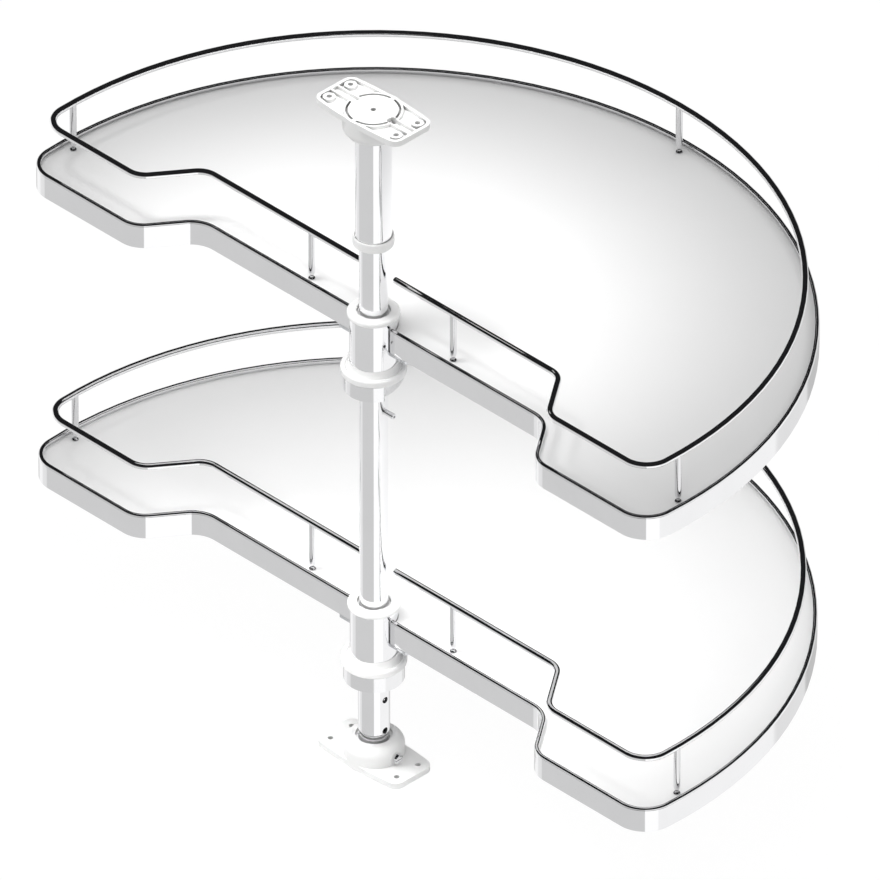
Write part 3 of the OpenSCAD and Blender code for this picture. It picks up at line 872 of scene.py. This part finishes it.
@dataclass(frozen=True)
class Hub:
    """The turned pieces round the pole, with heights above the rim."""

    sleeve_r: float = 20.75
    sleeve_wall: float = 2.0
    top: float = 5.0
    edge: float = 0.3
    press: float = 0.1
    bush_r: float = 14.4
    side_hole_r: float = 1.3
    side_hole_turn: float = -18.0
    side_hole_drop: float = 16.0
    side_hole_reach: tuple = (10.0, 30.0)
    flange_r: float = 23.0
    flange_t: float = 5.0
    flange_under: float = 1.5
    flange_over: float = 2.4
    flange_bore_round: float = 0.8
    plug_l: float = 9.0
    plug_round: float = 0.5
    dish_top: float = -41.5
    dish_bottom: float = -53.2
    dish_r: float = 28.6
    dish_foot_round: float = 0.9
    spigot_r: float = 23.6
    spigot_h: float = 1.0
    lip_h: float = 6.7
    lip_t: float = 3.4
    lip_over: float = 2.3
    lip_inside: float = 1.4
    valley_in: float = 5.0
    valley_drop: float = 7.4
    valley_round: float = 1.2
    cove_out: float = 1.0
    cove_drop: float = 3.6
    cove_round: float = 1.4
    seat_drop: float = 2.6
    sleeve_drop: float = 2.5
    collar_h: float = 12.0
    journal_r: float = 14.3
    journal_bore: float = 12.6
    journal_low: float = 3.0
    journal_sunk: float = 3.0

    @property
    def sleeve_bore(self) -> float:
        """The inner radius of the sleeve."""
        return self.sleeve_r - self.sleeve_wall

    def sleeve(self) -> list[tuple]:
        """The sleeve's (radius, height, round) points.

        Returns:
            The closed outline.
        """
        low = self.dish_top - self.sleeve_drop
        return [(self.sleeve_bore, low), (self.sleeve_r, low), (self.sleeve_r, self.top, self.edge),
                (self.sleeve_bore, self.top, self.edge)]

    def flange(self) -> list[tuple]:
        """The flange with the plug that sits in the sleeve.

        Returns:
            The closed outline.
        """
        plug_r, low, high = self.sleeve_bore - self.press, self.top - self.plug_l, self.top + self.flange_t
        return [
            (self.bush_r, low), (plug_r, low, self.plug_round), (plug_r, self.top),
            (self.flange_r, self.top, self.flange_under), (self.flange_r, high, self.flange_over),
            (self.bush_r, high, self.flange_bore_round),
        ]

    def dish(self) -> list[tuple]:
        """The flared dish with its spigot, cove and collar.

        Returns:
            The closed outline.
        """
        low, high, r = self.dish_bottom, self.dish_top, self.dish_r
        seat_r, collar_r = self.sleeve_r + self.press, self.sleeve_bore - self.press
        seat = high - self.seat_drop
        return [
            (self.bush_r, low - self.spigot_h), (self.spigot_r, low - self.spigot_h), (self.spigot_r, low),
            (r, low, self.dish_foot_round), (r, low + self.lip_h, self.lip_over),
            (r - self.lip_t, low + self.lip_h, self.lip_inside),
            (r - self.valley_in, high - self.valley_drop, self.valley_round),
            (self.sleeve_r + self.cove_out, high - self.cove_drop, self.cove_round),
            (seat_r, high), (seat_r, seat), (collar_r, seat), (collar_r, high + self.collar_h),
            (self.bush_r, high + self.collar_h),
        ]

    def journal(self) -> list[tuple]:
        """The sleeve on the pole that the hub turns on.

        Returns:
            The closed outline.
        """
        low, high = self.dish_bottom - self.journal_low, self.top + self.flange_t - self.journal_sunk
        return [(self.journal_bore, low), (self.journal_r, low), (self.journal_r, high, self.edge),
                (self.journal_bore, high, self.edge)]


@dataclass(frozen=True)
class Tray:
    """One half-moon tray with its rim, gallery rail, posts and hub."""

    level: str
    body: Body
    seat: Body
    rim: float
    lip: float = 6.0
    cup_edge: float = 0.5
    outline: Outline = Outline()
    strip: RimBand = RimBand()
    wire: GalleryRail = GalleryRail()
    post: RailPost = RailPost()
    centre: Hub = Hub()

    def make(self) -> None:
        """Builds and dresses the whole tray."""
        self.band()
        self.rail()
        self.posts()
        self.hub()
        self.cup()
        self.plain_nodes()

    def named(self, name: str) -> str:
        """A name with the tray's level in front."""
        return f"{self.level}_{name}"

    def ring(self, outline: list[tuple], name: str, steps: int = FINE_STEPS) -> bpy.types.Object:
        """A turned piece whose heights are measured from the rim."""
        raised = [(p[0], p[1] + self.rim, *p[2:]) for p in outline]
        return Shape().lathe(raised, steps).object(self.named(name))

    def band(self) -> None:
        """The flat rim strip with a bead rolled inward along its top."""
        section = self.strip.section(-self.outline.recess_front, self.rim)
        bends = self.outline.bends(0.0, self.strip.bend_r, self.strip.tip_r)
        piece = swept(section, bends, self.strip.end_x).object(self.named("band_shell"))
        dressed(piece, self.body, BAND, "rim_metal", self.named("rim_band"))

    def rail(self) -> None:
        """The gallery rail of round wire."""
        wire = self.wire
        section = wire.section(wire.inset - self.outline.recess_front, self.rim + wire.up)
        bends = self.outline.bends(wire.inset, wire.bend_r, wire.tip_r)
        piece = swept(section, bends, wire.end_x).object(self.named("gallery_wire"))
        dressed(piece, self.body, WIRE, "chrome_tube", self.named("rail"))

    def posts(self) -> None:
        """Five drop-shaped posts from the panel to the rail."""
        reach = self.outline.tray_r - self.wire.inset
        front_y, front_x = self.wire.inset - self.outline.recess_front, self.post.front_x
        places = {
            "left": (-reach, 0.0), "front_left": (-front_x, front_y), "front_right": (front_x, front_y),
            "right": (reach, 0.0), "rear": (0.0, reach),
        }
        profile = self.post.outline(self.rim - self.lip, self.rim + self.wire.up)
        for side, (x, y) in places.items():
            shape = Shape().lathe(profile, POST_STEPS).moved(Matrix.Translation((x, y, 0)))
            piece = shape.object(self.named(f"turned_post_{side}"))
            dressed(piece, self.body, SLIM_SHADED, "chrome_tube", self.named(f"post_{side}"))

    def hub(self) -> None:
        """Sleeve, flange, dish and journal round the pole."""
        hub = self.centre
        sleeve = self.ring(hub.sleeve(), "sleeve_tube")
        if self.level == "upper":
            turn = Matrix.Rotation(math.radians(hub.side_hole_turn), 4, "Z")
            height = self.rim - hub.side_hole_drop
            hole = Shape().rod(hub.side_hole_r, *hub.side_hole_reach, height).moved(turn)
            sleeve = cut(sleeve, hole.object("hole_tool"))
        dressed(sleeve, self.body, CHROME, "chrome_tube", self.named("hub_sleeve"))
        flange = self.ring(hub.flange(), "flange_cap")
        dressed(flange, self.body, GLOSSY_LIT, "white_moulding", self.named("hub_flange"))
        dish = self.ring(hub.dish(), "flared_dish")
        dressed(dish, self.body, GLOSSY_LIT, "white_moulding", self.named("hub_dish"))
        journal = self.ring(hub.journal(), "journal_sleeve", JOURNAL_STEPS)
        dressed(journal, self.seat, MOULDED, "white_moulding", self.named("journal"))

    def cup(self) -> None:
        """The cast bearing cup under the dish, with its screw and washer."""
        node = self.named("bearing_cup")
        softened(node, self.named("cast_cup"), self.cup_edge, self.seat, CUP, "cast_metal")
        finished(self.named("cup_screw"), ZINC)
        finished(self.named("thrust_washer"), ACETAL)

    def plain_nodes(self) -> None:
        """Finishes of the nodes whose CAD shape stays."""
        finished(self.named("panel"), BOARD)
        finished(self.named("support_plate"), ZINC)
        finished(self.named("panel_screws"), ZINC)


@dataclass(frozen=True)
class Pole:
    """The telescopic pole with its joining sleeve, foot and lock ring."""

    pole_r: float = 12.5
    pole_reach: tuple = (45.5, 625.0)
    tube_r: float = 16.0
    tube_reach: tuple = (540.5, 668.9)
    wall: float = 1.5
    bore_round: float = 0.2
    edge: float = 0.3
    slide_r: float = 12.6
    ring_r: float = 18.0
    ring_low: float = 537.5
    ring_h: float = 8.8
    ring_under: float = 0.8
    ring_over: float = 0.9
    ring_bore_round: float = 0.4
    tube_seat_r: float = 16.1
    tube_seat_h: float = 3.0
    spigot_r: float = 14.4
    spigot_h: float = 28.0
    joiner_r: float = 13.75
    joiner_reach: tuple = (30.5, 85.2)
    joiner_foot_round: float = 0.6
    screw_hole_r: float = 3.05
    screw_hole_reach: tuple = (5.0, 25.0)
    screw_z: tuple = (34.2, 66.2)

    def make(self) -> None:
        """Builds and dresses the pole's pieces."""
        self.tubes()
        self.joiner()
        self.lock_ring()
        softened("pole_foot", "tapered_foot", self.edge, Body.POLE, CHROME, "cast_metal")
        finished("joining_set_screws", BLACK)
        finished("pole_stop_screw", CUP)
        finished("pole_top_guide", ACETAL)
        finished("lock_ring_screw", ZINC)

    def tube(self, r: float, reach: tuple, name: str) -> bpy.types.Object:
        """A tube between two heights with its ends deburred.

        Args:
            r: its outer radius.
            reach: its lower and upper ends.
            name: the object's name.

        Returns:
            The object.
        """
        low, top = reach
        bore = r - self.wall
        outline = [(bore, low, self.bore_round), (r, low, self.edge), (r, top, self.edge),
                   (bore, top, self.bore_round)]
        return Shape().lathe(outline, FINE_STEPS).object(name)

    def tubes(self) -> None:
        """The inner pole and the outer tube."""
        inner = self.tube(self.pole_r, self.pole_reach, "pole_tube")
        dressed(inner, Body.POLE, CHROME, "chrome_tube", "inner_pole")
        outer = self.tube(self.tube_r, self.tube_reach, "top_tube")
        dressed(outer, Body.TOP, CHROME, "chrome_tube", "outer_tube")

    def joiner(self) -> None:
        """The joining sleeve with the two holes of its set screws."""
        r, bore = self.joiner_r, self.slide_r
        low, top = self.joiner_reach
        outline = [(bore, low), (r, low, self.joiner_foot_round), (r, top, self.edge), (bore, top)]
        piece = Shape().lathe(outline, FINE_STEPS).object("joiner_tube")
        drill = Shape()
        for z in self.screw_z:
            drill.rod(self.screw_hole_r, *self.screw_hole_reach, z)
        dressed(cut(piece, drill.object("joiner_drill")), Body.POLE, CHROME, "chrome_tube", "joining_sleeve")

    def lock_ring(self) -> None:
        """The white ring that locks the outer tube on the inner pole."""
        r, low, high = self.ring_r, self.ring_low, self.ring_low + self.ring_h
        seat, top = low + self.tube_seat_h, low + self.spigot_h
        outline = [
            (self.slide_r, low, self.edge), (r, low, self.ring_under), (r, high, self.ring_over),
            (self.tube_seat_r, high, self.ring_bore_round), (self.tube_seat_r, seat), (self.spigot_r, seat),
            (self.spigot_r, top, self.ring_bore_round), (self.slide_r, top, self.edge),
        ]
        piece = Shape().lathe(outline, FINE_STEPS).object("ring_nut")
        dressed(piece, Body.TOP, GLOSSY_LIT, "white_moulding", "lock_ring")


@dataclass(frozen=True)
class Brackets:
    """The floor and ceiling brackets with their clamp screws."""

    edge: float = 0.3

    def make(self) -> None:
        """Dresses both brackets."""
        softened("base_bracket", "floor_bracket", self.edge, Body.POLE, MOULDED, "white_moulding")
        softened("top_bracket", "ceiling_bracket", self.edge, Body.TOP, MOULDED, "white_moulding")
        finished("base_reducer", MOULDED)
        for end in ("base", "top"):
            finished(f"{end}_clamp_screw", CUP)
            finished(f"{end}_clamp_nut", ZINC)


@dataclass(frozen=True)
class Lamp:
    """A round soft lamp, with its places and size in metres and its beam in degrees."""

    name: str
    place: tuple
    aim: tuple
    size: float
    watts: float
    beam: float

    def hang(self) -> None:
        """Adds the lamp, hidden from the camera and from reflections."""
        data = bpy.data.lights.new(self.name, "AREA")
        data.shape, data.size, data.energy = "DISK", self.size, self.watts
        data.spread = math.radians(self.beam)
        lamp = bpy.data.objects.new(self.name, data)
        bpy.context.scene.collection.objects.link(lamp)
        lamp.location = self.place
        lamp.rotation_mode = "QUATERNION"
        lamp.rotation_quaternion = (Vector(self.aim) - Vector(self.place)).to_track_quat("-Z", "Y")
        lamp.visible_glossy = lamp.visible_camera = False


LAMPS = (
    Lamp("overhead", place=(0.0, 0.03, 1.6), aim=(0.0, 0.03, 0.0), size=0.56, watts=0.28, beam=18.0),
    Lamp("side", place=(-0.295, -0.27, 1.5), aim=(0.0, 0.03, 0.2), size=0.5, watts=0.31, beam=20.0),
    Lamp("front", place=(1.2, -1.33, 2.2), aim=(0.0, 0.1, 0.4), size=0.8, watts=3.5, beam=180.0),
    Lamp("shelf", place=(0.05, 0.05, 0.4), aim=(0.05, 0.05, 0.0), size=0.66, watts=1.1, beam=150.0),
)


@dataclass(frozen=True)
class Studio:
    """Camera, lamps, floor and world.

    The camera's sizes are in metres and the floor's in millimetres. The axis
    offset leads right and down from the pole's axis, at the axis height, to
    the middle of the picture. Sectors are the tones that metal mirrors below
    the horizon, by the angle in degrees round the object from the camera's side.
    """

    azimuth: float = 45.4
    elevation: float = 35.1
    span: float = 0.7496
    picture_px: float = 880.0
    lens: float = 1500.0
    sensor: float = 36.0
    axis_offset_px: tuple = (66.4, 121.4)
    axis_height: float = 0.4585
    near: float = 1.0
    far_share: float = 3.0
    floor_size: float = 6000.0
    floor_drop: float = 0.05
    floor_tone: float = 0.88
    floor_glow: float = 1.03
    floor_glow_share: float = 0.93
    fill: float = 0.4
    sky: float = 0.57
    mirrored_sky: tuple = (0.012, 0.012, 0.013, 1.0)
    horizon: float = 16.0
    sectors: tuple = (
        (-180, 0.66), (-153, 0.66), (-151, 1.0), (-126, 1.0), (-120, 0.86), (-100, 0.82), (-97, 0.66),
        (-1, 0.66), (0, 1.12), (42, 1.12), (46, 0.98), (128, 0.98), (130, 0.8), (152, 0.8),
        (154, 0.55), (180, 0.55),
    )

    def make(self) -> None:
        """Sets up everything that isn't part of the object."""
        scene = bpy.context.scene
        scene.view_settings.view_transform = "Standard"
        self.camera(scene)
        for lamp in LAMPS:
            lamp.hang()
        self.floor()
        self.world(scene)

    def camera(self, scene: bpy.types.Scene) -> None:
        """The long-lens camera at the photograph's angle.

        Args:
            scene: the scene that it is for.
        """
        a, e = math.radians(self.azimuth), math.radians(self.elevation)
        back = Vector((math.sin(a) * math.cos(e), -math.cos(a) * math.cos(e), math.sin(e)))
        right = Vector((math.cos(a), math.sin(a), 0))
        up = back.cross(right)
        pixel = self.span / self.picture_px
        across, down = self.axis_offset_px
        target = Vector((0, 0, self.axis_height)) + right * (across * pixel) - up * (down * pixel)
        distance = self.span * self.lens / self.sensor
        data = bpy.data.cameras.new("camera")
        data.type, data.lens, data.sensor_width = "PERSP", self.lens, self.sensor
        data.clip_start, data.clip_end = self.near, distance * self.far_share
        camera = bpy.data.objects.new("camera", data)
        scene.collection.objects.link(camera)
        camera.location = target + back * distance
        camera.rotation_mode = "QUATERNION"
        camera.rotation_quaternion = (-back).to_track_quat("-Z", "Y")
        scene.camera = camera

    def floor(self) -> None:
        """A pale floor that keeps the shadow and hides itself from below and from metal."""
        shape = Shape()
        bmesh.ops.create_grid(shape.bm, x_segments=1, y_segments=1, size=self.floor_size,
                              matrix=Matrix.Translation((0, 0, -self.floor_drop)))
        floor = shape.object("studio_floor")
        material = bpy.data.materials.new("studio_floor")
        graph = Graph(material)
        tone = (self.floor_tone, self.floor_tone, self.floor_tone, 1.0)
        path = graph.node("ShaderNodeLightPath", {}, {}, "Is Camera Ray")
        glossy = graph.node("ShaderNodeLightPath", {}, {}, "Is Glossy Ray")
        behind = graph.node("ShaderNodeNewGeometry", {}, {}, "Backfacing")
        matt = graph.node("ShaderNodeBsdfDiffuse", {}, {"Color": tone})
        glow = graph.node("ShaderNodeEmission", {}, {"Color": WHITE, "Strength": self.floor_glow})
        clear = graph.node("ShaderNodeBsdfTransparent", {}, {})
        seen = graph.node("ShaderNodeMixShader", {}, {0: path * self.floor_glow_share, 1: matt, 2: glow})
        hide = (glossy + behind).clamped()
        shown = graph.node("ShaderNodeMixShader", {}, {0: hide, 1: seen, 2: clear})
        graph.tree.links.new(shown.socket, graph.output.inputs["Surface"])
        floor.data.materials.append(material)

    def world(self, scene: bpy.types.Scene) -> None:
        """White for the camera, fill from above for matt surfaces, tones by direction for metal.

        Args:
            scene: the scene that it surrounds.
        """
        world = bpy.data.worlds.new("studio")
        scene.world = world
        graph = Graph(world)
        ray = graph.node("ShaderNodeTexCoord", {}, {}, "Generated")
        parts = graph.node("ShaderNodeSeparateXYZ", {}, {"Vector": ray})
        x, y, z = (Value(graph, parts.socket.node.outputs[i]) for i in range(3))
        offset = (QUARTER_TURN - self.azimuth + HALF_TURN) / FULL_TURN
        turned = x.math("ARCTAN2", y, x) / math.tau + offset
        stops = [((angle + HALF_TURN) / FULL_TURN, tone) for angle, tone in self.sectors]
        around = turned.math("FRACT", turned)
        tone = graph.node("ShaderNodeValToRGB", {"stops": stops}, {0: around}, 0)
        below = (MIDDLE - z * self.horizon).clamped()
        mirror = graph.mix(below, self.mirrored_sky, tone)
        fill = z.clamped() * self.sky + self.fill
        glossy = graph.node("ShaderNodeLightPath", {}, {}, "Is Glossy Ray")
        seen = graph.node("ShaderNodeLightPath", {}, {}, "Is Camera Ray")
        colour = graph.mix(seen, graph.mix(glossy, fill, mirror), WHITE)
        back = graph.node("ShaderNodeBackground", {}, {"Color": colour, "Strength": 1.0})
        graph.tree.links.new(back.socket, graph.output.inputs["Surface"])


def main() -> None:
    """Builds the sub-assemblies in order."""
    logging.basicConfig(level=logging.INFO, format="%(message)s")
    Tray("lower", body=Body.LOWER, seat=Body.POLE, rim=154.5).make()
    Tray("upper", body=Body.UPPER, seat=Body.CARRIER, rim=458.5).make()
    Pole().make()
    Brackets().make()
    Studio().make()
    bpy.context.view_layer.update()


if __name__ == "__main__":
    main()
